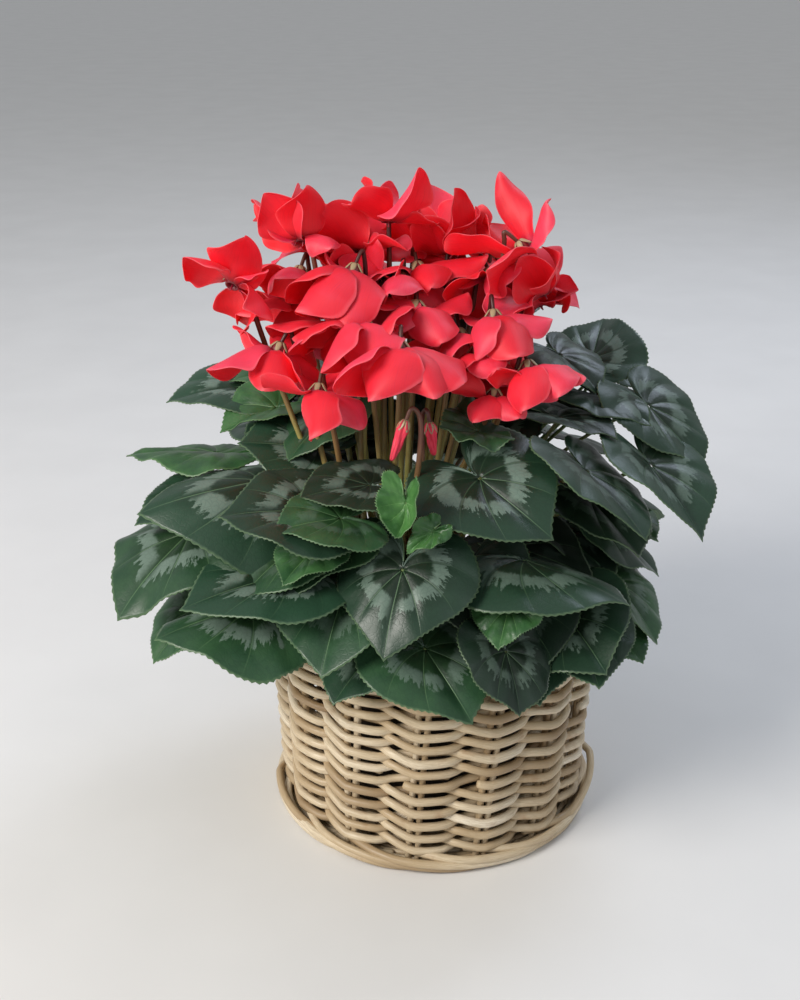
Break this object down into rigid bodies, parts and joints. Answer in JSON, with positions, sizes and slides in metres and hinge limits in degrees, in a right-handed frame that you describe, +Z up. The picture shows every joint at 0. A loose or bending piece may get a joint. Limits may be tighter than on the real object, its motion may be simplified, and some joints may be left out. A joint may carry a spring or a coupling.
{
  "type": "potted cyclamen",
  "caption": "Potted cyclamen: hooked stalks carry scarlet swept-back flowers above a mound of marbled heart-shaped leaves, in a pot set in a round woven cane basket.",
  "frame": {"origin": "middle of the basket's underside, on the surface it stands on", "axes": "+Z up, -Y to the front as pictured, +X to the right of that front"},
  "size_m": [0.4193, 0.3423, 0.4502],
  "materials": {
    "basket_cane": "peeled cane, satin",
    "pot_plastic": "matte moulded",
    "peat": "moist and crumbly",
    "tuber_cork": "rough cork",
    "leaf_green": "waxy, with a silver-grey band",
    "petal_scarlet": "velvety"
  },
  "bodies": {
    "root": {"basket_base": "basket_cane", "basket_foot": "basket_cane", "basket_wall": "basket_cane", "basket_rim": "basket_cane", "nursery_pot": "pot_plastic", "soil": "peat", "tuber": "tuber_cork", "leaf_01": "leaf_green", "leaf_02": "leaf_green", "leaf_03": "leaf_green", "leaf_04": "leaf_green", "leaf_05": "leaf_green", "leaf_06": "leaf_green", "leaf_07": "leaf_green", "leaf_08": "leaf_green", "leaf_09": "leaf_green", "leaf_10": "leaf_green", "leaf_11": "leaf_green", "leaf_12": "leaf_green", "leaf_13": "leaf_green", "leaf_14": "leaf_green", "leaf_15": "leaf_green", "leaf_16": "leaf_green", "leaf_17": "leaf_green", "leaf_18": "leaf_green", "leaf_19": "leaf_green", "leaf_20": "leaf_green", "leaf_21": "leaf_green", "leaf_22": "leaf_green", "leaf_23": "leaf_green", "leaf_24": "leaf_green", "leaf_25": "leaf_green", "leaf_26": "leaf_green", "leaf_27": "leaf_green", "leaf_28": "leaf_green", "leaf_29": "leaf_green", "leaf_30": "leaf_green", "leaf_31": "leaf_green", "leaf_32": "leaf_green", "leaf_33": "leaf_green", "leaf_34": "leaf_green", "leaf_35": "leaf_green", "flower_01": "petal_scarlet", "flower_02": "petal_scarlet", "flower_03": "petal_scarlet", "flower_04": "petal_scarlet", "flower_05": "petal_scarlet", "flower_06": "petal_scarlet", "flower_07": "petal_scarlet", "flower_08": "petal_scarlet", "flower_09": "petal_scarlet", "flower_10": "petal_scarlet", "flower_11": "petal_scarlet", "flower_12": "petal_scarlet", "flower_13": "petal_scarlet", "flower_14": "petal_scarlet", "flower_15": "petal_scarlet", "flower_16": "petal_scarlet", "spent_flower_01": "petal_scarlet", "spent_flower_02": "petal_scarlet"}
  },
  "joints": []
}
